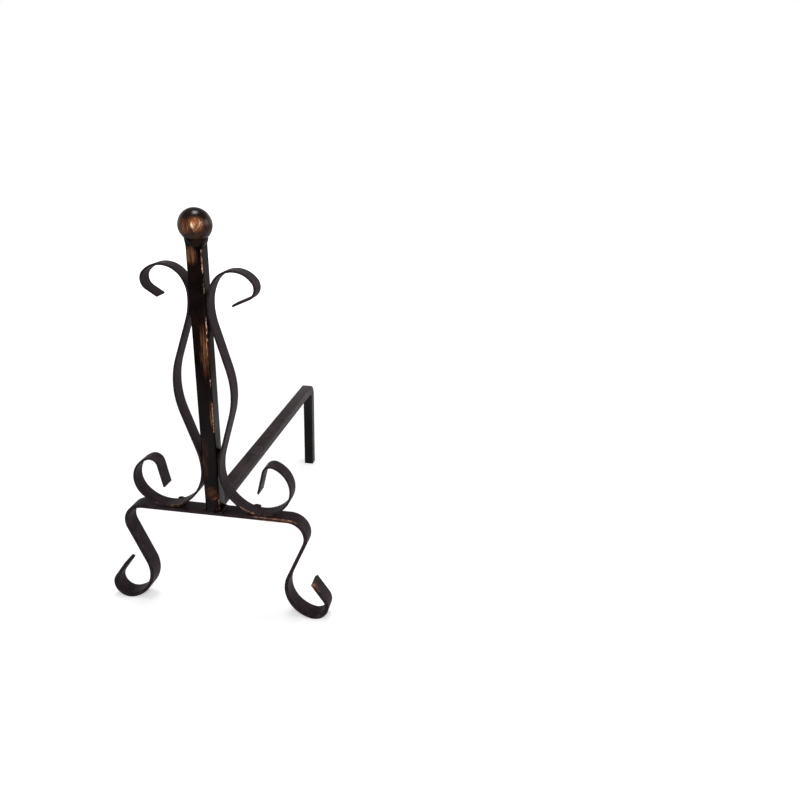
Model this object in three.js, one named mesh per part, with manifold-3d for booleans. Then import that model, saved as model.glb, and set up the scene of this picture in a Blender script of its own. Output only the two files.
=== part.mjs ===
// A wrought andiron (fire dog), in millimetres, +Z up, front towards -Y.
// A square tube post with a ball stands on a flat bar bent into two curled feet. Two mirrored
// flat bars, each one continuous S of curl, belly and curl, are welded to the post's sides.
// A solid square bar carries the logs: it runs back from the post and turns down as the rear leg.
import * as THREE from 'three';
import { ConvexGeometry } from 'three/addons/geometries/ConvexGeometry.js';
import { mergeVertices } from 'three/addons/utils/BufferGeometryUtils.js';
import Module from 'manifold-3d';

const wasm = await Module();
wasm.setup();

// Driving dimensions.
const gap = 0.3; // clearance that pieces welded face to face keep

const postSide = 15.9; // square tube
const postWall = 1.6;
const postCorner = 2.2;
const postLength = 301;

const ballRadius = 17.5;
const collarDrop = 6.6; // the weld collar starts this far below the post's top
const collarLip = 0.5; // how far it stands out from the post there
const collarRim = 11.9; // its radius where it meets the ball
const collarRise = 3.8; // height of that rim above the post's top

const strapWidth = 19; // flat bar set on edge, width front to back
const strapThickness = 2.4;
const strapEase = 0.4; // eased long edges

const crossbarLength = 173;
const logBarSide = 12.7; // solid square bar
const logBarEase = 0.8;
const logBarBend = 3.2; // inside radius of the bend into the rear leg
const logBarWeldBevel = 4; // off the top edge of its butt end, so that the bead stays off the logs' rest
const overallReach = 415; // straps' front edge to the back of the rear leg

const weldRise = 2.6; // radius of one drop in a fillet bead

// Bar bending.
// A bar is described as its bender would: straight lengths, and bends by centreline radius and
// angle in degrees. A positive angle turns left, seen from the front with +Z up.
const straight = (length) => ({ length });
const bend = (radius, degrees) => ({ radius, turn: THREE.MathUtils.degToRad(degrees) });

const footCurl = [straight(28), bend(16.5, 138), bend(38.5, 100), straight(52), bend(20, -113)];
const baseBends = [...footCurl, straight(crossbarLength), ...footCurl.toReversed()];

const upperCurl = [straight(19), bend(9.5, 99), bend(27.5, 107), bend(33.5, 30)];
const belly = [bend(77, 19), straight(43), bend(96, -38), straight(43), bend(77, 19)];
const lowerCurl = [bend(51, 60), bend(39, 78), bend(29, 110), bend(9.5, 100), straight(26)];
const lyreBends = [...upperCurl, ...belly, ...lowerCurl];

const turnOf = (bends) => bends.reduce((sum, step) => sum + (step.turn ?? 0), 0);

// Walks the bends and returns stations on the centreline: place and heading, one every few degrees.
const degreesPerStation = 6;
function trace(bends, startHeading) {
  const stations = [{ x: 0, z: 0, heading: startHeading }];
  for (const step of bends) {
    let { x, z, heading } = stations.at(-1);
    if (step.length) {
      x += step.length * Math.cos(heading);
      z += step.length * Math.sin(heading);
      stations.push({ x, z, heading });
      continue;
    }
    const count = Math.ceil(Math.abs(THREE.MathUtils.radToDeg(step.turn)) / degreesPerStation);
    const turn = step.turn / count;
    const chord = 2 * step.radius * Math.sin(Math.abs(turn) / 2);
    for (let i = 0; i < count; i += 1) {
      x += chord * Math.cos(heading + turn / 2);
      z += chord * Math.sin(heading + turn / 2);
      heading += turn;
      stations.push({ x, z, heading });
    }
  }
  return stations;
}

const shifted = (stations, dx, dz) => stations.map((s) => ({ ...s, x: s.x + dx, z: s.z + dz }));
const lowest = (stations) => Math.min(...stations.map((s) => s.z));

// The bar's outline in its own plane: one side out, the other side back.
function barOutline(stations, thickness, endMargin = 0) {
  const side = (sign) => stations.map(({ x, z, heading }, i) => {
    const along = i === 0 ? -endMargin : i === stations.length - 1 ? endMargin : 0;
    return new THREE.Vector2(
      x - sign * (thickness / 2) * Math.sin(heading) + along * Math.cos(heading),
      z + sign * (thickness / 2) * Math.cos(heading) + along * Math.sin(heading),
    );
  });
  return [...side(-1), ...side(1).reverse()];
}

// Extrudes a shape by depth, eased edges included, over 0..depth of its own Z.
function eased(shape, depth, ease) {
  const geometry = new THREE.ExtrudeGeometry(shape, {
    depth: depth - 2 * ease,
    bevelEnabled: ease > 0,
    bevelThickness: ease,
    bevelSize: ease,
    bevelOffset: -ease,
    bevelSegments: 1,
    curveSegments: 5,
  });
  return geometry.translate(0, 0, ease);
}

// A shape drawn in X and Z, seen from the front, extruded back from y = 0.
const standing = (geometry, width) => geometry.rotateX(Math.PI / 2).translate(0, width, 0);

// Where things stand.
const baseRun = trace(baseBends, -turnOf(footCurl));
const baseHeight = strapThickness / 2 - lowest(baseRun);
const baseLine = shifted(baseRun, -baseRun.at(-1).x / 2, baseHeight);
const crossbarTop = Math.max(...baseLine.map((s) => s.z)) + strapThickness / 2;

const seat = crossbarTop + gap; // what stands on the crossbar starts here
const lyreRun = trace(lyreBends, -Math.PI / 2 - turnOf(upperCurl));
const upperTouch = lyreRun.length - trace([...belly, ...lowerCurl], 0).length;
const lowerTouch = lyreRun.length - trace(lowerCurl, 0).length;
const strapOffset = postSide / 2 + gap + strapThickness / 2; // strap centreline beside the post
const lyreFoot = Math.min(...lyreRun.slice(lowerTouch).map((s) => s.z));
const lyreLine = shifted(
  lyreRun,
  strapOffset - lyreRun[lowerTouch].x,
  seat + strapThickness / 2 - lyreFoot,
);
const upperTouchZ = lyreLine[upperTouch].z;
const lowerTouchZ = lyreLine[lowerTouch].z;
const scrollTouchX = lyreLine.slice(lowerTouch).reduce((a, b) => (b.z < a.z ? b : a)).x;

const postTop = seat + postLength;
const postMiddleY = postSide / 2; // the post's front is flush with the straps' front edges
const boreHalf = postSide / 2 - postWall;
const ballZ = postTop + gap + Math.sqrt(ballRadius ** 2 - boreHalf ** 2); // rests on the tube's mouth

const barFront = postSide + gap;
const barTop = seat + logBarSide;
const ballFront = postMiddleY - ballRadius; // the foremost point of the whole

// Pieces.
function roundedSquare(side, corner, Outline = THREE.Shape) {
  const h = side / 2;
  const c = h - corner;
  const outline = new Outline();
  outline.absarc(c, c, corner, 0, Math.PI / 2);
  outline.absarc(-c, c, corner, Math.PI / 2, Math.PI);
  outline.absarc(-c, -c, corner, Math.PI, 1.5 * Math.PI);
  outline.absarc(c, -c, corner, 1.5 * Math.PI, 2 * Math.PI);
  return outline.closePath();
}

function postGeometry() {
  const section = roundedSquare(postSide, postCorner);
  section.holes.push(roundedSquare(postSide - 2 * postWall, postCorner - postWall, THREE.Path));
  return eased(section, postLength, 0).translate(0, postMiddleY, seat);
}

const ballGeometry = (margin = 0) => new THREE.SphereGeometry(ballRadius + margin, 40, 24)
  .rotateX(Math.PI / 2)
  .translate(0, postMiddleY, ballZ);

function strapGeometry(line, margin = 0) {
  const shape = new THREE.Shape(barOutline(line, strapThickness + 2 * margin, margin));
  const width = strapWidth + 2 * margin;
  return standing(eased(shape, width, margin ? 0 : strapEase), width).translate(0, -margin, 0);
}

function logBarGeometry(margin = 0) {
  const radius = logBarBend + logBarSide / 2;
  const run = overallReach - barFront - logBarSide / 2 - radius;
  const drop = seat + logBarSide / 2 - radius;
  const line = shifted(
    trace([straight(run), bend(radius, -90), straight(drop)], 0),
    barFront,
    seat + logBarSide / 2,
  );
  const side = logBarSide + 2 * margin;
  const outline = barOutline(line, side, margin);
  const corner = outline.pop(); // the butt end's top corner makes way for the bevel
  outline.push(
    new THREE.Vector2(corner.x + logBarWeldBevel, corner.y),
    new THREE.Vector2(corner.x, corner.y - logBarWeldBevel),
  );
  const shape = new THREE.Shape(outline);
  // Drawn along X, then turned so that the bar runs back along Y.
  return standing(eased(shape, side, margin ? 0 : logBarEase), side)
    .translate(0, -side / 2, 0)
    .rotateZ(Math.PI / 2);
}

// Booleans.
function solid(geometry) {
  const bare = geometry.clone().deleteAttribute('normal').deleteAttribute('uv');
  const merged = mergeVertices(bare, 1e-4);
  return new wasm.Manifold(new wasm.Mesh({
    numProp: 3,
    vertProperties: Float32Array.from(merged.attributes.position.array),
    triVerts: Uint32Array.from(merged.index.array),
  }));
}

function geometryOf(manifold) {
  const { vertProperties, triVerts } = manifold.getMesh();
  const indexed = new THREE.BufferGeometry();
  indexed.setAttribute('position', new THREE.BufferAttribute(vertProperties, 3));
  indexed.setIndex(new THREE.BufferAttribute(triVerts, 1));
  const flat = indexed.toNonIndexed();
  flat.computeVertexNormals();
  return flat;
}

const largest = (manifold) => manifold.decompose().reduce((a, b) => (b.volume() > a.volume() ? b : a));

// Welds.
const mirrorX = (geometry) => {
  const mirrored = geometry.clone().scale(-1, 1, 1);
  const index = mirrored.index?.array ?? [...Array(mirrored.attributes.position.count).keys()];
  const turned = [];
  for (let i = 0; i < index.length; i += 3) turned.push(index[i], index[i + 2], index[i + 1]);
  mirrored.setIndex(turned);
  return mirrored.toNonIndexed();
};

const grownPost = solid(eased(roundedSquare(postSide + 2 * gap, postCorner + gap), postLength + gap, 0)
  .translate(0, postMiddleY, seat - gap));
const grownLyre = solid(strapGeometry(lyreLine, gap));
const grownBase = solid(strapGeometry(baseLine, gap));
const grownBar = solid(logBarGeometry(gap));
const grownBall = solid(ballGeometry(gap));

// A bead is a row of overlapping drops of metal, cut back to clear the pieces that it joins.
function bead(places, [rx, ry, rz], neighbours) {
  const drops = places.map(([x, y, z]) => solid(
    new THREE.SphereGeometry(1, 10, 8).scale(rx, ry, rz).translate(x, y, z),
  ));
  const row = drops.reduce((sum, drop) => sum.add(drop));
  return geometryOf(largest(neighbours.reduce((left, piece) => left.subtract(piece), row)));
}

const row = (count, from, to) => Array.from({ length: count }, (_, i) => (
  from.map((start, axis) => start + (to[axis] - start) * (i / (count - 1)))
));

// Round the post under the ball: from the tube's outline out to a round rim against the ball.
function ballWeld() {
  const foot = roundedSquare(postSide + 2 * collarLip, postCorner + collarLip);
  const rim = new THREE.Shape().absarc(0, 0, collarRim, 0, 2 * Math.PI);
  const ring = (outline, divisions, z) => outline.getPoints(divisions)
    .map(({ x, y }) => new THREE.Vector3(x, y, z));
  const cup = new ConvexGeometry([...ring(foot, 4, -collarDrop), ...ring(rim, 20, collarRise)])
    .translate(0, postMiddleY, postTop);
  return geometryOf(largest(solid(cup).subtract(grownPost).subtract(grownBall)));
}

// Along the post's side on the crossbar. The right-hand one runs round onto the post's front.
function postWeld(wrapped) {
  const x = postSide / 2 + 0.9;
  const z = seat + 0.7;
  const side = row(6, [x, postSide - 1.5, z], [x, 1.2, z]);
  const front = wrapped ? [[x + 1.6, -0.2, z - 0.6], [x - 2.4, -0.9, z], [x - 5.6, -0.8, z - 0.5]] : [];
  return bead([...side, ...front], [weldRise, weldRise, weldRise * 0.9], [grownPost, grownBase]);
}

// In the wedge between strap and post, just off the place where they touch.
const wedgeWeld = (z, height) => bead(
  row(5, [postSide / 2 + 1, 3.5, z], [postSide / 2 + 1, strapWidth - 4, z]),
  [weldRise, weldRise, height],
  [grownPost, grownLyre],
);

// In the wedge between the lower curl and the crossbar, on the post's side. At the back the bead
// ends in a lump over both bars' edges.
function scrollWeld() {
  const x = scrollTouchX - 11;
  const wedge = row(5, [x, 3, seat + 0.4], [x, strapWidth - 2.5, seat + 0.4]);
  const lump = row(3, [x, strapWidth + 0.2, seat + 0.4], [x + 2.5, strapWidth + 0.2, seat + 2.6]);
  return bead([...wedge, ...lump], [5.2, weldRise, weldRise * 0.8], [grownBase, grownLyre]);
}

// Fills the bevel on the log bar's butt end, against the post's back.
const barWeld = () => bead(
  row(5, [-4.2, postSide + 1.5, barTop - 0.9], [4.2, postSide + 1.5, barTop - 0.9]),
  [weldRise, weldRise, weldRise],
  [grownPost, grownBar],
);

// Assembly.
const finish = (color, roughness, metalness) => ({ color, roughness, metalness });
const blackBronze = finish(0x2a2422, 0.42, 0.6);
const darkBar = finish(0x35302f, 0.5, 0.5);
const rubbedBronze = finish(0x3a2a20, 0.38, 0.7);
const copperBall = finish(0x6b452c, 0.32, 0.8);
const weldBlack = finish(0x221d1b, 0.45, 0.6);

const andiron = new THREE.Group();
andiron.name = 'andiron';
andiron.position.y = -(ballFront + overallReach) / 2; // the origin is under the middle of the whole

function add(name, geometry, material) {
  const mesh = new THREE.Mesh(geometry, new THREE.MeshStandardMaterial(material));
  mesh.name = name;
  andiron.add(mesh);
}

add('post', postGeometry(), rubbedBronze);
add('ball_finial', ballGeometry(), copperBall);
add('base_strap', strapGeometry(baseLine), blackBronze);
add('log_bar', logBarGeometry(), darkBar);
add('weld_ball', ballWeld(), weldBlack);
add('weld_log_bar', barWeld(), weldBlack);

for (const side of ['left', 'right']) {
  const place = side === 'left' ? mirrorX : (geometry) => geometry;
  add(`lyre_strap_${side}`, place(strapGeometry(lyreLine)), blackBronze);
  add(`weld_post_${side}`, place(postWeld(side === 'right')), weldBlack);
  add(`weld_upper_${side}`, place(wedgeWeld(upperTouchZ - 15, 4.5)), weldBlack);
  add(`weld_lower_${side}`, place(wedgeWeld(lowerTouchZ + 16, 6)), weldBlack);
  add(`weld_scroll_${side}`, place(scrollWeld()), weldBlack);
}

export default andiron;
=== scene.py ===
import bmesh
import bpy
import math
import random
from mathutils import Matrix, Vector, noise


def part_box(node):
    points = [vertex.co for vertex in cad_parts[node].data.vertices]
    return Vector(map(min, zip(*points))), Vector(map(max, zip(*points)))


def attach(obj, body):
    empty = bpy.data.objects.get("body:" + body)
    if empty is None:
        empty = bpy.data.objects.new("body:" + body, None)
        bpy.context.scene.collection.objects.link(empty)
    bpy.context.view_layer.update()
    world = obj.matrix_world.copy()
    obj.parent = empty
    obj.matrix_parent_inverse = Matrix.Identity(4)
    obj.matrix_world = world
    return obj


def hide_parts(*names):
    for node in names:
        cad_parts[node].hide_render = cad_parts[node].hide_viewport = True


# A wrought andiron: black paint rubbed through to copper bronze by hand, on a white ground.
# Everything is in metres. Each bar is pushed along its own bending schedule and seated where
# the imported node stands.

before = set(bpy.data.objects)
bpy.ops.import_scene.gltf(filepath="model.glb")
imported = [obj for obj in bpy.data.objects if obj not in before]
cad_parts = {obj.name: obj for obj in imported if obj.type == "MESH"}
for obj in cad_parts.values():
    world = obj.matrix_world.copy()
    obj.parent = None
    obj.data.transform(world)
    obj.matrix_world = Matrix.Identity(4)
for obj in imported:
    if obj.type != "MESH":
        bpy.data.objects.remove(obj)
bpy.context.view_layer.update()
scene = bpy.context.scene
mm = 0.001
print("frame loaded:", len(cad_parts), "nodes")

cameraSet = {
    "place": (0.30100, -0.86450, 0.54192),
    "turn": 7.76,  # degrees to the left of straight ahead
    "dip": 20.95,  # degrees below the horizon
    "roll": 1.83,
    "lens": 31.47,
    "sensor": 36.0,
}


def addCamera(s):
    data = bpy.data.cameras.new("camera")
    data.lens = s["lens"]
    data.sensor_width = s["sensor"]
    data.sensor_fit = "HORIZONTAL"
    camera = bpy.data.objects.new("camera", data)
    turn = Matrix.Rotation(math.radians(s["turn"]), 4, "Z")
    dip = Matrix.Rotation(math.radians(90 - s["dip"]), 4, "X")
    roll = Matrix.Rotation(math.radians(s["roll"]), 4, "Z")
    camera.matrix_world = Matrix.Translation(s["place"]) @ turn @ dip @ roll
    scene.collection.objects.link(camera)
    scene.camera = camera


addCamera(cameraSet)
print("camera set")

lampSet = {
    "topLamp": {"place": (0.02, -0.05, 1.80), "aim": (0, -0.05, 0.2), "size": (0.62, 0.45), "watts": 13},
    "rightLamp": {"place": (1.5, 0.25, 0.80), "aim": (0, 0, 0.2), "size": (0.9, 0.7), "watts": 7},
    "frontLamp": {"place": (0.26, -0.95, 0.72), "aim": (0, -0.2, 0.40), "size": (0.42, 0.42), "watts": 4.8},
}


def addLamp(name, s):
    data = bpy.data.lights.new(name, "AREA")
    data.shape = "RECTANGLE"
    data.size, data.size_y = s["size"]
    data.energy = s["watts"]
    lamp = bpy.data.objects.new(name, data)
    way = Vector(s["aim"]) - Vector(s["place"])
    lamp.matrix_world = Matrix.Translation(s["place"]) @ way.to_track_quat("-Z", "Y").to_matrix().to_4x4()
    scene.collection.objects.link(lamp)


for lampName, lampValues in lampSet.items():
    addLamp(lampName, lampValues)


def addNode(tree, kind, inputs=None, **settings):
    made = tree.nodes.new("ShaderNode" + kind)
    for key, value in settings.items():
        setattr(made, key, value)
    for key, value in (inputs or {}).items():
        if isinstance(value, bpy.types.NodeSocket):
            tree.links.new(value, made.inputs[key])
        else:
            made.inputs[key].default_value = value
    return made


def maths(tree, operation, first, second=0.0, third=0.0):
    return addNode(tree, "Math", {0: first, 1: second, 2: third}, operation=operation).outputs[0]


def mixFloat(tree, factor, low, high):
    values = {0: factor, 2: low, 3: high}
    return addNode(tree, "Mix", values, data_type="FLOAT").outputs[0]


def mixColour(tree, factor, low, high):
    values = {0: factor, 6: low, 7: high}
    return addNode(tree, "Mix", values, data_type="RGBA").outputs[2]


def smoothStep(tree, value, low, high):
    values = {0: value, 1: low, 2: high, 3: 0.0, 4: 1.0}
    return addNode(tree, "MapRange", values, interpolation_type="SMOOTHSTEP").outputs[0]


def ramp(tree, value, stops):
    made = addNode(tree, "ValToRGB", {0: value})
    bar = made.color_ramp
    while len(bar.elements) > 1:
        bar.elements.remove(bar.elements[-1])
    bar.elements[0].position = stops[0][0]
    for position, _ in stops[1:]:
        bar.elements.new(position)
    for element, (_, level) in zip(bar.elements, stops):
        element.color = (level, level, level, 1)
    return made.outputs[0]


roomSet = {
    "white": 1.0,  # what the camera and the shiny paint see behind the object
    "ambient": 0.42,  # what lights the object from all round
    "upper": 0.25,  # the room above the white ground
    "front": 0.10,  # the room on the camera's side, as the shiny paint sees it
    "edge": (0.22, 0.65),  # height of the direction at which the white gives way to the room
    "turn": (-0.55, 0.35),  # Y of the direction at which the front gives way to the white
    "floorPaint": (0.80, 0.80, 0.80, 1),
    "floorLift": (0.34, 1.1),  # extra white near the object, and far off where the lamps don't reach
    "floorReach": (0.45, 1.6),
    "floorSize": 12.0,
    "floorDrop": 0.1 * mm,  # keeps the feet clear of it
}


def addRoom(s):
    world = bpy.data.worlds.new("room")
    world.use_nodes = True
    scene.world = world
    tree = world.node_tree
    tree.nodes.clear()
    way = addNode(tree, "SeparateXYZ", {0: addNode(tree, "TexCoord").outputs["Generated"]})
    high = smoothStep(tree, way.outputs[2], *s["edge"])
    behind = smoothStep(tree, way.outputs[1], *s["turn"])
    level = mixFloat(tree, behind, s["front"], s["white"])
    mirrored = mixFloat(tree, high, level, s["upper"])
    path = addNode(tree, "LightPath").outputs
    around = mixFloat(tree, path["Is Glossy Ray"], s["ambient"], mirrored)
    strength = mixFloat(tree, path["Is Camera Ray"], around, s["white"])
    glow = addNode(tree, "Background", {0: (1, 1, 1, 1), 1: strength})
    addNode(tree, "OutputWorld", {0: glow.outputs[0]})


def addFloor(s):
    bm = bmesh.new()
    bmesh.ops.create_grid(bm, x_segments=1, y_segments=1, size=s["floorSize"] / 2)
    bmesh.ops.translate(bm, verts=bm.verts, vec=(0, 0, -s["floorDrop"]))
    mesh = bpy.data.meshes.new("floor")
    bm.to_mesh(mesh)
    bm.free()
    floor = bpy.data.objects.new("floor", mesh)
    scene.collection.objects.link(floor)
    material = bpy.data.materials.new("whiteGround")
    material.use_nodes = True
    tree = material.node_tree
    shader = tree.nodes["Principled BSDF"]
    shader.inputs["Base Color"].default_value = s["floorPaint"]
    shader.inputs["Roughness"].default_value = 1.0
    shader.inputs["Specular IOR Level"].default_value = 0.0
    shader.inputs["Emission Color"].default_value = (1, 1, 1, 1)
    away = addNode(tree, "VectorMath", {0: addNode(tree, "TexCoord").outputs["Object"]}, operation="LENGTH")
    distance = smoothStep(tree, away.outputs["Value"], *s["floorReach"])
    lift = mixFloat(tree, distance, *s["floorLift"])
    shown = maths(tree, "MULTIPLY", addNode(tree, "LightPath").outputs["Is Camera Ray"], lift)
    tree.links.new(shown, shader.inputs["Emission Strength"])
    mesh.materials.append(material)


addRoom(roomSet)
addFloor(roomSet)
scene.view_settings.view_transform = "Standard"
print("lamps, room and floor set")


def newGroup(name, inputs, outputs):
    group = bpy.data.node_groups.new(name, "ShaderNodeTree")
    for label, kind, value in inputs:
        socket = group.interface.new_socket(name=label, in_out="INPUT", socket_type="NodeSocket" + kind)
        if value is not None:
            socket.default_value = value
    for label, kind in outputs:
        group.interface.new_socket(name=label, in_out="OUTPUT", socket_type="NodeSocket" + kind)
    return group, group.nodes.new("NodeGroupInput").outputs


def closeGroup(group, results):
    end = group.nodes.new("NodeGroupOutput")
    for label, socket in results.items():
        group.links.new(socket, end.inputs[label])
    return group


def noiseOf(tree, vector, scale, detail=2.0, roughness=0.5, distortion=0.0):
    values = {
        "Vector": vector,
        "Scale": scale,
        "Detail": detail,
        "Roughness": roughness,
        "Distortion": distortion,
    }
    return addNode(tree, "TexNoise", values).outputs["Fac"]


def perSize(tree, size, count=1.0):
    # The noise scale that puts this many grains in one size.
    return maths(tree, "DIVIDE", count, size)


rubSet = {
    "bareAt": 0.78,  # noise above this level is rubbed bare where the amount is 0
    "fullRub": -0.50,  # what an amount of 1 adds to that level
    "patchShare": 0.42,  # of slow patches in a stroke's level, the rest being streaks
    "breakFade": (0.06, 0.10),  # below and above the level at which a worn edge breaks off
    "nibbles": 8.0,  # in one break of a worn edge
    "nibbled": (0.5, 0.75),  # how much the nibbles change the edge's width, and its least width
    "edgeFade": (0.66, 1.04),
    "wornGlintFade": (0.89, 1.12),
    "spotFade": (1.0, 0.25),  # share of a spot's reach at which the rub is gone, and full
}


def bareLevel(tree, amount):
    return maths(tree, "MULTIPLY_ADD", amount, rubSet["fullRub"], rubSet["bareAt"])


def buildDryBrush():
    # Strokes of a nearly dry brush or cloth: long thin streaks that come and go in patches.
    group, given = newGroup(
        "dryBrush",
        [
            ("Vector", "Vector", None),  # its X runs along the strokes, in metres
            ("Stroke Length", "Float", 0.02),
            ("Stroke Width", "Float", 0.001),
            ("Patch Size", "Float", 0.03),
            ("Amount", "Float", 0.5),
            ("Softness", "Float", 0.08),
        ],
        [("Mask", "Float"), ("Streak", "Float")],
    )
    longer = perSize(group, given["Stroke Length"])
    thinner = perSize(group, given["Stroke Width"])
    stretch = addNode(group, "CombineXYZ", {0: longer, 1: thinner, 2: thinner}).outputs[0]
    lines = addNode(group, "VectorMath", {0: given["Vector"], 1: stretch}, operation="MULTIPLY")
    streak = noiseOf(group, lines.outputs[0], 1.0, detail=3.0, roughness=0.62, distortion=0.4)
    patch = noiseOf(group, given["Vector"], perSize(group, given["Patch Size"]), roughness=0.55)
    both = mixFloat(group, rubSet["patchShare"], streak, patch)
    level = bareLevel(group, given["Amount"])
    low = maths(group, "SUBTRACT", level, given["Softness"])
    high = maths(group, "ADD", level, given["Softness"])
    return closeGroup(group, {"Mask": smoothStep(group, both, low, high), "Streak": streak})


skinSet = {
    "specks": 4.0,  # in one dimple of the orange peel
    "speckShare": 0.25,  # of those specks in the paint's height
    "driftFade": (0.3, 0.7),
}


def buildPaintSkin():
    # Sprayed paint: fine orange peel, with slow drifts of gloss and tone.
    group, given = newGroup(
        "paintSkin",
        [("Vector", "Vector", None), ("Peel Size", "Float", 0.0012), ("Drift Size", "Float", 0.02)],
        [("Height", "Float"), ("Drift", "Float")],
    )
    peel = noiseOf(group, given["Vector"], perSize(group, given["Peel Size"]), detail=1.5)
    speck = noiseOf(group, given["Vector"], perSize(group, given["Peel Size"], skinSet["specks"]))
    height = mixFloat(group, skinSet["speckShare"], peel, speck)
    slow = perSize(group, given["Drift Size"])
    drift = noiseOf(group, given["Vector"], slow, detail=3.0, roughness=0.6)
    drift = smoothStep(group, drift, *skinSet["driftFade"])
    return closeGroup(group, {"Height": height, "Drift": drift})


def buildEdgeRub():
    # Bare metal that shows along worn edges, in broken lengths; the middle of each worn line is painted
    # pale, partly polished wear and partly a painted highlight line.
    group, given = newGroup(
        "edgeRub",
        [
            ("Vector", "Vector", None),
            ("Edge", "Float", 0.0),
            ("Amount", "Float", 0.5),
            ("Break Size", "Float", 0.02),
        ],
        [("Mask", "Float"), ("Worn Glint", "Float")],
    )
    coarse = perSize(group, given["Break Size"])
    breaks = noiseOf(group, given["Vector"], coarse, detail=3.0, roughness=0.65)
    fine = perSize(group, given["Break Size"], rubSet["nibbles"])
    nibble = noiseOf(group, given["Vector"], fine, roughness=0.6)
    level = bareLevel(group, given["Amount"])
    below, above = rubSet["breakFade"]
    low = maths(group, "SUBTRACT", level, below)
    high = maths(group, "ADD", level, above)
    shown = smoothStep(group, breaks, low, high)
    width = maths(group, "MULTIPLY_ADD", nibble, *rubSet["nibbled"])
    ragged = maths(group, "MULTIPLY", given["Edge"], width)
    narrow = smoothStep(group, ragged, *rubSet["edgeFade"])
    wornGlint = smoothStep(group, ragged, *rubSet["wornGlintFade"])
    return closeGroup(group, {
        "Mask": maths(group, "MULTIPLY", shown, narrow),
        "Worn Glint": maths(group, "MULTIPLY", shown, wornGlint),
    })


def buildRubSpot():
    # A soft patch where the hand rubbed the paint: full in the middle, gone at the reach.
    group, given = newGroup(
        "rubSpot",
        [("Vector", "Vector", None), ("Middle", "Vector", None), ("Reach", "Vector", None)],
        [("Mask", "Float")],
    )
    offset = addNode(group, "VectorMath", {0: given["Vector"], 1: given["Middle"]}, operation="SUBTRACT")
    scaled = addNode(group, "VectorMath", {0: offset.outputs[0], 1: given["Reach"]}, operation="DIVIDE")
    distance = addNode(group, "VectorMath", {0: scaled.outputs[0]}, operation="LENGTH").outputs["Value"]
    return closeGroup(group, {"Mask": smoothStep(group, distance, *rubSet["spotFade"])})


dryBrush = buildDryBrush()
paintSkin = buildPaintSkin()
edgeRub = buildEdgeRub()
rubSpot = buildRubSpot()


def placeGroup(tree, group, inputs):
    made = tree.nodes.new("ShaderNodeGroup")
    made.node_tree = group
    for key, value in inputs.items():
        if isinstance(value, bpy.types.NodeSocket):
            tree.links.new(value, made.inputs[key])
        else:
            made.inputs[key].default_value = value
    return made.outputs


def barCoordinates(tree):
    # Along the bar, across it and through it, kept on every bent bar as the attribute "lay".
    return addNode(tree, "Attribute", attribute_name="lay").outputs["Vector"]


def turnedUpright(tree):
    # Object coordinates with Z first, so that strokes run up and down.
    parts = addNode(tree, "SeparateXYZ", {0: addNode(tree, "TexCoord").outputs["Object"]}).outputs
    return addNode(tree, "CombineXYZ", {0: parts[2], 1: parts[0], 2: parts[1]}).outputs[0]


def objectHeight(tree):
    return addNode(tree, "SeparateXYZ", {0: addNode(tree, "TexCoord").outputs["Object"]}).outputs[2]


def tilted(tree, vector, degrees):
    # Turns the strokes' own plane, so that they lean to one side.
    values = {"Vector": vector, "Rotation": (0, 0, math.radians(degrees))}
    return addNode(tree, "Mapping", values, vector_type="TEXTURE").outputs[0]


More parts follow.
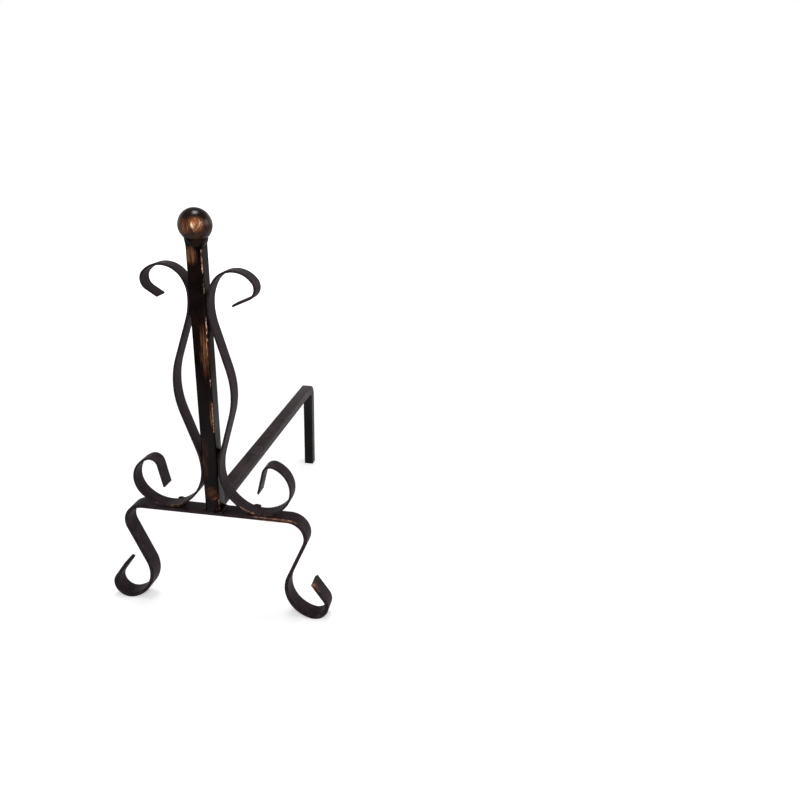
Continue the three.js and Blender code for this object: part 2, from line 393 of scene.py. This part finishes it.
def rubbedPaint(name, s, coordinates, amount, edgeAmount, leaning=(), paintedShade=None):
    material = bpy.data.materials.new(name)
    material.use_nodes = True
    tree = material.node_tree
    shader = tree.nodes["Principled BSDF"]
    vector = coordinates(tree)

    def strokes(place, much, widen):
        hard = much(tree)
        made = placeGroup(tree, dryBrush, {
            "Vector": place,
            "Stroke Length": s["strokeLength"] * widen,
            "Stroke Width": s["strokeWidth"] * widen,
            "Patch Size": s["patchSize"],
            "Amount": hard,
            "Softness": s["softness"],
        })
        # The harder the rub, the brighter the metal.
        return made["Mask"], maths(tree, "MULTIPLY_ADD", hard, s["hardShine"], made["Streak"])

    skin = placeGroup(tree, paintSkin, {
        "Vector": vector,
        "Peel Size": s["peelSize"],
        "Drift Size": s["driftSize"],
    })
    metal, streak = strokes(vector, amount, 1.0)
    for degrees, widen, much in leaning:
        moreMetal, moreStreak = strokes(tilted(tree, vector, degrees), much, widen)
        streak = mixFloat(tree, moreMetal, streak, moreStreak)
        metal = maths(tree, "MAXIMUM", metal, moreMetal)
    worn = placeGroup(tree, edgeRub, {
        "Vector": vector,
        "Edge": addNode(tree, "Attribute", attribute_name="edge").outputs["Fac"],
        "Amount": edgeAmount(tree),
        "Break Size": s["breakSize"],
    })
    both = maths(tree, "MAXIMUM", metal, worn["Mask"])
    paint = mixColour(tree, skin["Drift"], s["paintDark"], s["paintWarm"])
    # Painted shade: a near-black paint laid over the paint where a part stands in shade.
    if paintedShade:
        paint = mixColour(tree, paintedShade(tree), paint, s["paintedShadeColour"])
    bright = smoothStep(tree, streak, *s["brightFrom"])
    copper = mixColour(tree, bright, s["copperDeep"], s["copperBright"])
    # Painted highlight: the middle of each worn edge takes a pale colour, partly polished metal and partly
    # a highlight line painted in.
    copper = mixColour(tree, worn["Worn Glint"], copper, s["edgeWearGlint"])
    paintGloss = mixFloat(tree, skin["Drift"], *s["paintRoughness"])
    copperGloss = mixFloat(tree, bright, *s["copperRoughness"])
    lift = mixFloat(tree, s["streakHeight"], skin["Height"], streak)
    bump = addNode(tree, "Bump", {"Strength": s["bump"], "Distance": s["bumpDepth"], "Height": lift})
    tree.links.new(mixColour(tree, both, paint, copper), shader.inputs["Base Color"])
    tree.links.new(maths(tree, "MULTIPLY", both, s["metallic"]), shader.inputs["Metallic"])
    tree.links.new(mixFloat(tree, both, paintGloss, copperGloss), shader.inputs["Roughness"])
    tree.links.new(bump.outputs[0], shader.inputs["Normal"])
    shader.inputs["Specular IOR Level"].default_value = s["shine"]
    return material


def steady(value):
    def build(tree):
        made = addNode(tree, "Value")
        made.outputs[0].default_value = value
        return made.outputs[0]

    return build


noRub = steady(0.0)


def byHeight(stops):
    # A rub that comes and goes with height; stops are (height in millimetres, amount).
    low, high = stops[0][0], stops[-1][0]
    span = high - low
    scaled = [((height - low) / span, level) for height, level in stops]

    def build(tree):
        place = maths(tree, "MULTIPLY_ADD", objectHeight(tree), 1 / (span * mm), -low / span)
        return ramp(tree, place, scaled)

    return build


def bySpots(general, spots):
    # A rub made of soft patches; each is (middle, reach, amount), in millimetres.
    def build(tree):
        total = general(tree)
        place = addNode(tree, "TexCoord").outputs["Object"]
        for middle, reach, amount in spots:
            spot = placeGroup(tree, rubSpot, {
                "Vector": place,
                "Middle": [value * mm for value in middle],
                "Reach": [value * mm for value in reach],
            })
            total = maths(tree, "MAXIMUM", total, maths(tree, "MULTIPLY", spot["Mask"], amount))
        return total

    return build


basePaint = {
    "paintDark": (0.0022, 0.0014, 0.0015, 1),
    "paintWarm": (0.0110, 0.0046, 0.0034, 1),
    "copperDeep": (0.060, 0.020, 0.008, 1),
    "copperBright": (0.74, 0.40, 0.22, 1),
    "brightFrom": (0.62, 1.02),  # streak level at which the deep copper turns bright
    "hardShine": 0.45,
    # the pale middle of worn edges, partly polished metal and partly painted highlight
    "edgeWearGlint": (0.90, 0.60, 0.42, 1),
    "paintRoughness": (0.26, 0.38),
    "copperRoughness": (0.50, 0.38),
    "metallic": 0.85,
    "shine": 0.08,
    "peelSize": 1.4 * mm,
    "driftSize": 22 * mm,
    "strokeLength": 16 * mm,
    "strokeWidth": 0.8 * mm,
    "patchSize": 26 * mm,
    "softness": 0.20,
    "breakSize": 18 * mm,
    "streakHeight": 0.35,
    "bump": 0.30,
    "bumpDepth": 0.12 * mm,
}

ballPaint = basePaint | {
    "paintDark": (0.0012, 0.0010, 0.0012, 1),
    "paintWarm": (0.0075, 0.0032, 0.0026, 1),
    "copperDeep": (0.180, 0.056, 0.020, 1),
    "copperBright": (0.92, 0.66, 0.44, 1),
    "brightFrom": (0.86, 1.12),
    "shine": 0.20,
    "strokeLength": 8 * mm,
    "strokeWidth": 1.0 * mm,
    "patchSize": 11 * mm,
    "softness": 0.26,
    "bump": 0.22,
    "paintRoughness": (0.20, 0.28),
    "copperRoughness": (0.50, 0.50),
}
ballRub = bySpots(byHeight([(433, 0.0), (442, 0.10), (454, 0.20), (461, 0.06), (469, 0.0)]), [
    ((7, -210, 453), (13, 12, 11), 1.10),
    ((-4, -210, 450), (12, 12, 12), 0.76),
    ((0, -179, 452), (17, 9, 12), 0.80),
    ((-17, -186, 450), (7, 9, 11), 0.60),
])
ballLean = [  # strokes that lean: (degrees, how much wider they are, where)
    (24, 1.3, bySpots(noRub, [((10, -208, 453), (6, 12, 9), 1.04)])),
    (-22, 1.3, bySpots(noRub, [((5, -210, 453), (6, 12, 9), 1.04)])),
]

postPaint = basePaint | {
    "paintDark": (0.0012, 0.0008, 0.0009, 1),
    "paintWarm": (0.0058, 0.0026, 0.0021, 1),
    "copperDeep": (0.085, 0.025, 0.009, 1),
    "copperBright": (0.60, 0.31, 0.16, 1),
    "brightFrom": (0.70, 1.12),
    "shine": 0.06,
    "strokeLength": 20 * mm,
    "strokeWidth": 1.0 * mm,
    "patchSize": 13 * mm,
    "softness": 0.15,
}
postRub = bySpots(steady(0.02), [
    ((-3, -203, 422), (11, 10, 17), 0.76),
    ((4, -203, 322), (8, 10, 44), 0.66),
    ((7, -203, 251), (4, 10, 30), 0.55),
    ((-5, -203, 200), (9, 10, 50), 0.40),
    ((6, -203, 135), (6, 8, 7), 0.46),
    ((-9, -195, 390), (4, 10, 44), 0.66),
    ((-9, -193, 240), (4, 9, 60), 0.55),
    ((2, -186, 400), (10, 4, 40), 0.62),
    ((-1, -186, 250), (10, 4, 80), 0.55),
])
postLean = [(60, 2.2, bySpots(noRub, [((1, -203, 155), (14, 12, 17), 0.62)]))]
postEdgeWearGlint = bySpots(steady(0.20), [
    # Painted highlight: the front-right corner is rubbed hardest near the top, so its pale line stands in
    # for the highlight there.
    ((8, -203, 416), (6, 6, 20), 1.20),
    ((8, -203, 395), (6, 6, 40), 0.56),
    ((8, -203, 345), (6, 6, 34), 0.58),
    ((8, -203, 251), (6, 6, 34), 0.60),
    ((8, -203, 140), (6, 6, 24), 0.62),
    ((-8, -203, 425), (6, 6, 22), 0.50),
    ((-8, -203, 300), (5, 5, 120), 0.42),
    ((-8, -187, 330), (5, 5, 120), 0.72),
    ((8, -187, 280), (5, 5, 150), 0.66),
])

strapPaint = basePaint | {
    "paintDark": (0.0095, 0.0052, 0.0068, 1),
    "paintWarm": (0.0270, 0.0158, 0.0180, 1),
    "paintRoughness": (0.46, 0.60),
    "driftSize": 9 * mm,
    "strokeLength": 22 * mm,
    "strokeWidth": 1.1 * mm,
    "copperDeep": (0.070, 0.024, 0.012, 1),
    "copperBright": (0.42, 0.20, 0.10, 1),
    "edgeWearGlint": (0.56, 0.34, 0.21, 1),
    "hardShine": 0.25,
    "peelSize": 2.2 * mm,
    "bump": 0.05,
    "shine": 0.09,
}
strapRub = bySpots(steady(0.06), [
    ((120, -203, 50), (20, 12, 18), 0.66),
    ((74, -203, 129), (40, 5, 5), 0.58),
    ((0, -184, 90), (150, 4, 60), 0.40),
])
strapEdge = bySpots(steady(0.14), [
    ((41, -203, 150), (32, 6, 26), 0.70),
    ((70, -203, 130), (56, 6, 7), 0.66),
    ((120, -203, 48), (24, 6, 24), 0.66),
    ((-50, -203, 140), (44, 6, 14), 0.42),
    ((0, -184, 200), (140, 6, 240), 0.52),
])

barPaint = basePaint | {
    "paintDark": (0.0185, 0.0128, 0.0140, 1),
    "paintWarm": (0.0330, 0.0225, 0.0240, 1),
    "paintRoughness": (0.34, 0.48),
    "strokeLength": 30 * mm,
    "strokeWidth": 1.4 * mm,
    "copperBright": (0.30, 0.15, 0.09, 1),
    "edgeWearGlint": (0.60, 0.36, 0.24, 1),
    # colour of the painted shade on the rear leg
    "paintedShadeColour": (0.0018, 0.0015, 0.0017, 1),
    "driftSize": 12 * mm,
    "shine": 0.13,
}
barRub = steady(0.05)
# Painted shade: the log bar's rear leg is painted near-black all over, standing in for the shade on it.
barPaintedShade = bySpots(noRub, [((0, 200, 50), (16, 14, 112), 1.0)])
barEdge = bySpots(steady(0.10), [
    ((0, 212, 80), (14, 8, 90), 0.50),
    ((-7, 60, 130), (5, 160, 8), 0.42),
])

weldPaint = basePaint | {
    "paintRoughness": (0.14, 0.24),
    "strokeLength": 3 * mm,
    "strokeWidth": 0.9 * mm,
    "patchSize": 6 * mm,
    "peelSize": 0.9 * mm,
    "bump": 0.3,
    "shine": 0.07,
}
weldRub = steady(0.06)

finishes = {
    "rubbed_ball": rubbedPaint("rubbedBall", ballPaint, turnedUpright, ballRub, noRub, ballLean),
    "rubbed_post": rubbedPaint("rubbedPost", postPaint, turnedUpright, postRub, postEdgeWearGlint, postLean),
    "bronze_strap": rubbedPaint("bronzeStrap", strapPaint, barCoordinates, strapRub, strapEdge),
    "dark_log_bar": rubbedPaint("darkLogBar", barPaint, barCoordinates, barRub, barEdge, paintedShade=barPaintedShade),
    "painted_weld": rubbedPaint("paintedWeld", weldPaint, turnedUpright, weldRub, noRub),
}
print("finishes mixed:", ", ".join(finishes))


def finishPiece(bm, name, slot, node):
    bmesh.ops.remove_doubles(bm, verts=bm.verts, dist=0.001 * mm)
    bmesh.ops.recalc_face_normals(bm, faces=bm.faces)
    if bm.calc_volume(signed=True) < 0:  # the lumpy collar can come out inside out
        bmesh.ops.reverse_faces(bm, faces=bm.faces)
    mesh = bpy.data.meshes.new(name)
    bm.to_mesh(mesh)
    bm.free()
    mesh.shade_smooth()
    mesh.materials.append(finishes[slot])
    piece = bpy.data.objects.new(name, mesh)
    scene.collection.objects.link(piece)
    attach(piece, "root")
    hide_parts(node)


def seatIn(bm, node):
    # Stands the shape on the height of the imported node's underside, in the middle of its box.
    low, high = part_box(node)
    sides = [[v.co[axis] for v in bm.verts] for axis in range(3)]
    middle = Vector([(min(side) + max(side)) / 2 for side in sides])
    shift = (low + high) / 2 - middle
    shift.z = low.z - min(sides[2])
    bmesh.ops.translate(bm, verts=bm.verts, vec=shift)


def straight(length):
    return {"length": length * mm}


def bend(radius, degrees):
    return {"radius": radius * mm, "turn": math.radians(degrees)}


def everything(bm):
    return bm.verts[:] + bm.edges[:] + bm.faces[:]


def vertsOf(geometry):
    return [v for v in geometry if isinstance(v, bmesh.types.BMVert)]


def cutLines(bm, axis, away):
    # A line across the shape on either side of its middle, square to the axis.
    for side in (-1, 1):
        cut, way = Vector((0, 0, 0)), Vector((0, 0, 0))
        cut[axis] = side * away
        way[axis] = 1
        bmesh.ops.bisect_plane(bm, geom=everything(bm), plane_co=cut, plane_no=way)


def barSection(bm, thickness, width, support, heading):
    # The bar's cut end, with a line a little way in from each edge that keeps its flats flat.
    bmesh.ops.create_grid(bm, x_segments=1, y_segments=1, size=0.5)
    for axis, size in ((0, thickness), (1, width)):
        cutLines(bm, axis, 0.5 - support / size)
    lay = bm.verts.layers.float_vector.new("lay")
    bm.verts.layers.float.new("edge")
    for v in bm.verts:
        v[lay] = Vector((0, v.co.y * width, v.co.x * thickness))
    right = Vector((math.sin(heading), 0, -math.cos(heading)))
    ahead = Vector((math.cos(heading), 0, math.sin(heading)))
    place = Matrix((right * thickness, Vector((0, width, 0)), ahead)).transposed().to_4x4()
    bmesh.ops.transform(bm, matrix=place, verts=bm.verts)


bendSet = {
    "finest": 3.0,  # degrees of bend in one step
    "corner": 60,  # an angle sharper than this is an edge to ease
}


def bendBar(schedule, s, heading):
    # Pushes the cut end along the schedule, as the bar leaves the bender.
    bm = bmesh.new()
    barSection(bm, s["thickness"], s["width"], s["support"], heading)
    lay = bm.verts.layers.float_vector["lay"]
    edge = bm.verts.layers.float["edge"]
    end = everything(bm)
    place, along = Vector((0, 0, 0)), 0.0

    def mark(length):
        nonlocal along
        along += length
        for v in vertsOf(end):
            v[lay] = Vector((along, v[lay].y, v[lay].z))

    for step in schedule:
        ahead = Vector((math.cos(heading), 0, math.sin(heading)))
        if "length" in step:
            end = bmesh.ops.extrude_face_region(bm, geom=end)["geom"]
            bmesh.ops.translate(bm, verts=vertsOf(end), vec=ahead * step["length"])
            place = place + ahead * step["length"]
            mark(step["length"])
            continue
        count = math.ceil(abs(math.degrees(step["turn"])) / bendSet["finest"])
        turn = step["turn"] / count
        left = Vector((-math.sin(heading), 0, math.cos(heading)))
        centre = place + left * math.copysign(step["radius"], step["turn"])
        for _ in range(count):
            made = bmesh.ops.spin(
                bm, geom=end, cent=centre, axis=(0, -1, 0), angle=turn, steps=1, use_duplicate=False,
            )
            end = made["geom_last"]
            mark(step["radius"] * abs(turn))
        heading += step["turn"]
        place = centre + Matrix.Rotation(-step["turn"], 3, "Y") @ (place - centre)

    bmesh.ops.recalc_face_normals(bm, faces=bm.faces)
    corner = math.radians(bendSet["corner"])
    sharp = [e for e in bm.edges if e.is_manifold and e.calc_face_angle() > corner]
    made = bmesh.ops.bevel(
        bm, geom=sharp, offset=s["ease"], segments=3, profile=0.5, affect="EDGES", material=-1,
    )
    for v in made["verts"]:
        v[edge] = 1.0
    return bm


def turnOf(schedule):
    return sum(step.get("turn", 0) for step in schedule)


baseSet = {
    "width": 19.9 * mm,
    "thickness": 4.3 * mm,
    "ease": 0.6 * mm,
    "support": 1.5 * mm,
    "foot": [
        straight(24.7), bend(16.24, 140.43), bend(37.93, 97.88),
        straight(48.75), bend(21.39, -113.31),
    ],
    "crossbar": 172.45,
}


def makeBase(s):
    schedule = [*s["foot"], straight(s["crossbar"]), *reversed(s["foot"])]
    bm = bendBar(schedule, s, -turnOf(s["foot"]))
    seatIn(bm, "base_strap")
    finishPiece(bm, "baseStrap", "bronze_strap", "base_strap")


lyreSet = {  # bent by hand, so the two aren't quite alike
    "width": 17 * mm,
    "thickness": 2.4 * mm,
    "ease": 0.4 * mm,
    "support": 1.1 * mm,
    "inner": 8.85 * mm,  # its inner face, from the post's middle
    "left": [
        straight(13.2), bend(11.5, 99.5), bend(26, 106.2), bend(36, 32.3),
        bend(77, 19), straight(44.5), bend(96, -38), straight(44.5), bend(77, 19),
        bend(51.8, 60.5), bend(39.4, 80.1), bend(27.4, 107.7), bend(9.5, 100), straight(27),
    ],
    "right": [
        straight(19.6), bend(11.5, 103), bend(25, 114), bend(52.4, 28.2),
        bend(77, 16), straight(47.6), bend(96, -32), straight(47.6), bend(77, 16),
        bend(52.1, 59.4), bend(38.1, 83.1), bend(29.9, 104), bend(9.5, 100), straight(28),
    ],
}


def makeLyre(side, s):
    # The upper curl is the first four steps; where they end, the strap heads straight down.
    heading = -math.pi / 2 - turnOf(s[side][:4])
    bm = bendBar(s[side], s, heading)
    seatIn(bm, "lyre_strap_" + side)
    inner = min(v.co.x for v in bm.verts)
    bmesh.ops.translate(bm, verts=bm.verts, vec=(s["inner"] - inner, 0, 0))
    if side == "left":
        bmesh.ops.scale(bm, vec=(-1, 1, 1), verts=bm.verts)
    finishPiece(bm, "lyreStrap_" + side, "bronze_strap", "lyre_strap_" + side)


makeBase(baseSet)
for lyreSide in ("left", "right"):
    makeLyre(lyreSide, lyreSet)
print("straps bent")

logBarSet = {
    "thickness": 14.6 * mm,
    "width": 14.6 * mm,
    "inside": 7 * mm,  # radius inside the bend
    "ease": 0.9 * mm,
    "support": 2.4 * mm,
    "weldBevel": 4 * mm,
}


def makeLogBar(s):
    low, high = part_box("log_bar")
    half = s["thickness"] / 2
    radius = s["inside"] + half
    top = high.z + half - (high.x - low.x) / 2  # thicker than the node by as much above as below
    run = high.y - low.y - half - radius
    drop = top - half - radius
    schedule = [straight(run / mm), bend(radius / mm, -90), straight(drop / mm)]
    bm = bendBar(schedule, s, 0.0)
    bmesh.ops.rotate(bm, verts=bm.verts, cent=(0, 0, 0), matrix=Matrix.Rotation(math.pi / 2, 3, "Z"))
    seatIn(bm, "log_bar")
    # The butt end's top edge is cut away for the weld.
    corner = Vector((0, low.y + s["weldBevel"], top))
    cut = bmesh.ops.bisect_plane(
        bm, geom=everything(bm), plane_co=corner, plane_no=(0, -1, 1), clear_outer=True,
    )
    rim = [e for e in cut["geom_cut"] if isinstance(e, bmesh.types.BMEdge)]
    bmesh.ops.holes_fill(bm, edges=rim)
    finishPiece(bm, "logBar", "dark_log_bar", "log_bar")


makeLogBar(logBarSet)
print("log bar bent")

postSet = {
    "side": 17.4 * mm,
    "wall": 1.6 * mm,
    "corner": 2.4 * mm,
    "bore": 0.6 * mm,  # radius of the tube's inside corners
    "support": 3.2 * mm,
    "taller": 1.6 * mm,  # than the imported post; the ball and its weld go up with it
    "cornerRub": 1.6,  # how wide the rub is on a rounded corner
}


def makePost(s):
    low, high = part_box("post")
    bm = bmesh.new()
    bmesh.ops.create_grid(bm, x_segments=1, y_segments=1, size=s["side"] / 2)
    inner = bmesh.ops.inset_region(bm, faces=bm.faces[:], thickness=s["wall"], use_boundary=True)
    hole = [f for f in bm.faces if f not in inner["faces"]]
    bmesh.ops.delete(bm, geom=hole, context="FACES")
    half = s["side"] / 2
    for axis in (0, 1):
        cutLines(bm, axis, half - s["support"])
    top = bmesh.ops.extrude_face_region(bm, geom=everything(bm))["geom"]
    rise = high.z - low.z + s["taller"]
    bmesh.ops.translate(bm, verts=vertsOf(top), vec=(0, 0, rise))
    bmesh.ops.recalc_face_normals(bm, faces=bm.faces)
    corner = math.radians(bendSet["corner"])
    upright = [
        e for e in bm.edges
        if e.is_manifold and e.calc_face_angle() > corner and e.calc_length() > rise / 2
    ]
    outer = [e for e in upright if abs(e.verts[0].co.x) > half - s["wall"] / 2]
    inside = [e for e in upright if e not in outer]
    bmesh.ops.bevel(
        bm, geom=outer, offset=s["corner"], segments=8, profile=0.5, affect="EDGES", material=-1,
    )
    bmesh.ops.bevel(
        bm, geom=inside, offset=s["bore"], segments=3, profile=0.5, affect="EDGES", material=-1,
    )
    # The rub is strongest in the middle of each rounded corner, where its pale middle is partly wear and
    # partly a painted highlight line.
    edge = bm.verts.layers.float.new("edge")
    flat = half - s["corner"]
    for v in bm.verts:
        across, back = abs(v.co.x) - flat, abs(v.co.y) - flat
        if across > 0 and back > 0:
            offMiddle = abs(math.atan2(back, across) / (math.pi / 4) - 1)
            v[edge] = min(1, s["cornerRub"] * (1 - offMiddle))
    seatIn(bm, "post")
    finishPiece(bm, "postTube", "rubbed_post", "post")


ballSet = {
    "radius": 17.1 * mm,
    "segments": 128,
    "rings": 64,
    "unevenness": 0.10 * mm,
    "lumpSize": 7 * mm,
}


def makeBall(s):
    low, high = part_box("ball_finial")
    bm = bmesh.new()
    radius = s["radius"]
    bmesh.ops.create_uvsphere(bm, u_segments=s["segments"], v_segments=s["rings"], radius=radius)
    for v in bm.verts:
        swell = noise.noise(v.co / s["lumpSize"]) * s["unevenness"]
        v.co = v.co * (1 + (swell - s["unevenness"]) / radius)
    bmesh.ops.translate(bm, verts=bm.verts, vec=(low + high) / 2 + Vector((0, 0, postSet["taller"])))
    finishPiece(bm, "ballFinial", "rubbed_ball", "ball_finial")


makePost(postSet)
makeBall(ballSet)
print("post and ball made")

weldSet = {
    "voxel": 0.28 * mm,
    "spacing": 1.5 * mm,  # between drops
    "jitter": 0.14,  # of a drop's place, in millimetres, and of its size
    "smoothing": 3,
}


def fuse(bm, name, s, smoothing):
    # Runs overlapping shapes together into one skin and softens it.
    mesh = bpy.data.meshes.new(name)
    bm.to_mesh(mesh)
    bm.free()
    loose = bpy.data.objects.new(name, mesh)
    scene.collection.objects.link(loose)
    melt = loose.modifiers.new("melt", "REMESH")
    melt.mode = "VOXEL"
    melt.voxel_size = s["voxel"]
    view = bpy.context.evaluated_depsgraph_get()
    fused = bpy.data.meshes.new_from_object(loose.evaluated_get(view))
    bpy.data.objects.remove(loose)
    bm = bmesh.new()
    bm.from_mesh(fused)
    for _ in range(smoothing):
        bmesh.ops.smooth_vert(
            bm, verts=bm.verts, factor=0.5, use_axis_x=True, use_axis_y=True, use_axis_z=True,
        )
    return bm


def layWeld(node, runs, s, seed):
    # A bead for each run of drops: (start, end, size of a drop), all in millimetres.
    rng = random.Random(seed)
    bm = bmesh.new()
    for start, end, size in runs:
        start, end = Vector(start) * mm, Vector(end) * mm
        count = max(2, round((end - start).length / s["spacing"]) + 1)
        for i in range(count):
            shake = Vector([rng.uniform(-1, 1) * s["jitter"] * mm for _ in range(3)])
            grow = (1 + rng.uniform(-1, 1) * s["jitter"]) * mm
            made = bmesh.ops.create_icosphere(bm, subdivisions=3, radius=1)["verts"]
            bmesh.ops.scale(bm, verts=made, vec=Vector(size) * grow)
            bmesh.ops.translate(bm, verts=made, vec=start.lerp(end, i / (count - 1)) + shake)
    word, place, *side = node.split("_")
    name = "_".join([word + place.capitalize(), *side])
    bm = fuse(bm, name, s, s["smoothing"])
    finishPiece(bm, name, "painted_weld", node)


# Runs on the right-hand side; the left has the same ones mirrored.
weldRuns = {
    "post": [((9.6, -188.6, 132.0), (9.6, -202.0, 132.0), (2.5, 2.5, 2.3))],
    "upper": [((9.3, -199.2, 360.9), (9.3, -187.7, 360.9), (2.0, 2.5, 4.2))],
    "lower": [((9.3, -199.2, 198.0), (9.3, -187.7, 198.0), (2.0, 2.5, 5.4))],
    "scroll": [
        ((43.4, -199.7, 131.8), (43.4, -185.5, 131.8), (5.2, 2.4, 2.0)),
        ((43.4, -183.2, 131.8), (46.0, -183.2, 133.9), (4.6, 2.2, 2.1)),
    ],
}
footWeld = [  # the right-hand one runs round onto the post's front
    ((10.8, -203.1, 131.4), (7.2, -204.3, 131.8), (2.3, 2.2, 2.3)),
    ((7.2, -204.3, 131.8), (3.4, -204.2, 131.4), (2.3, 2.1, 2.0)),
]
backWeld = [((-4.6, -184.8, 143.8), (4.6, -184.8, 143.8), (2.1, 2.0, 2.3))]

seed = 20
for place, runs in weldRuns.items():
    for weldSide, sign in (("left", -1), ("right", 1)):
        seed += 1
        mirrored = [[(x * sign, y, z) for x, y, z in run[:2]] + [run[2]] for run in runs]
        if place == "post" and weldSide == "right":
            mirrored += footWeld
        layWeld(f"weld_{place}_{weldSide}", mirrored, weldSet, seed)
layWeld("weld_log_bar", backWeld, weldSet, seed + 1)

collarSet = {
    "foot": 8.65 * mm,  # half its width, just inside the post's faces
    "footAt": 428.2 * mm,
    "rim": 12.2 * mm,  # its radius against the ball
    "flare": 0.5 * mm,  # by which the rim's lower edge is smaller
    "rimAt": (433.8 * mm, 436.6 * mm),
    "corner": 2.4 * mm,
    "lumps": 0.5 * mm,
    "sink": 0.4,  # share of a lump by which the skin is drawn in
    "lumpSize": 2.6 * mm,
    "smoothing": 10,
}


def makeCollar(s, weld):
    # One fat pass of weld: square where it grips the post, round against the ball.
    low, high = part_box("post")
    bm = bmesh.new()
    foot = bmesh.ops.create_grid(bm, x_segments=1, y_segments=1, size=s["foot"])
    bmesh.ops.bevel(
        bm, geom=foot["verts"], offset=s["corner"], segments=6, profile=0.5, affect="VERTICES", material=-1,
    )
    bmesh.ops.translate(bm, verts=bm.verts, vec=(0, 0, s["footAt"]))
    for height, radius in zip(s["rimAt"], (s["rim"] - s["flare"], s["rim"])):
        ring = bmesh.ops.create_circle(bm, segments=64, radius=radius)
        bmesh.ops.translate(bm, verts=ring["verts"], vec=(0, 0, height))
    hull = bmesh.ops.convex_hull(bm, input=bm.verts)
    bmesh.ops.delete(bm, geom=hull["geom_interior"] + hull["geom_unused"], context="VERTS")
    middle = (low + high) / 2
    bmesh.ops.translate(bm, verts=bm.verts, vec=(middle.x, middle.y, postSet["taller"]))
    bm = fuse(bm, "weldBall", weld, s["smoothing"])
    bm.normal_update()
    for v in bm.verts:
        v.co = v.co + v.normal * (noise.noise(v.co / s["lumpSize"]) - s["sink"]) * s["lumps"]
    finishPiece(bm, "weldBall", "painted_weld", "weld_ball")


makeCollar(collarSet, weldSet)
print("welds laid")
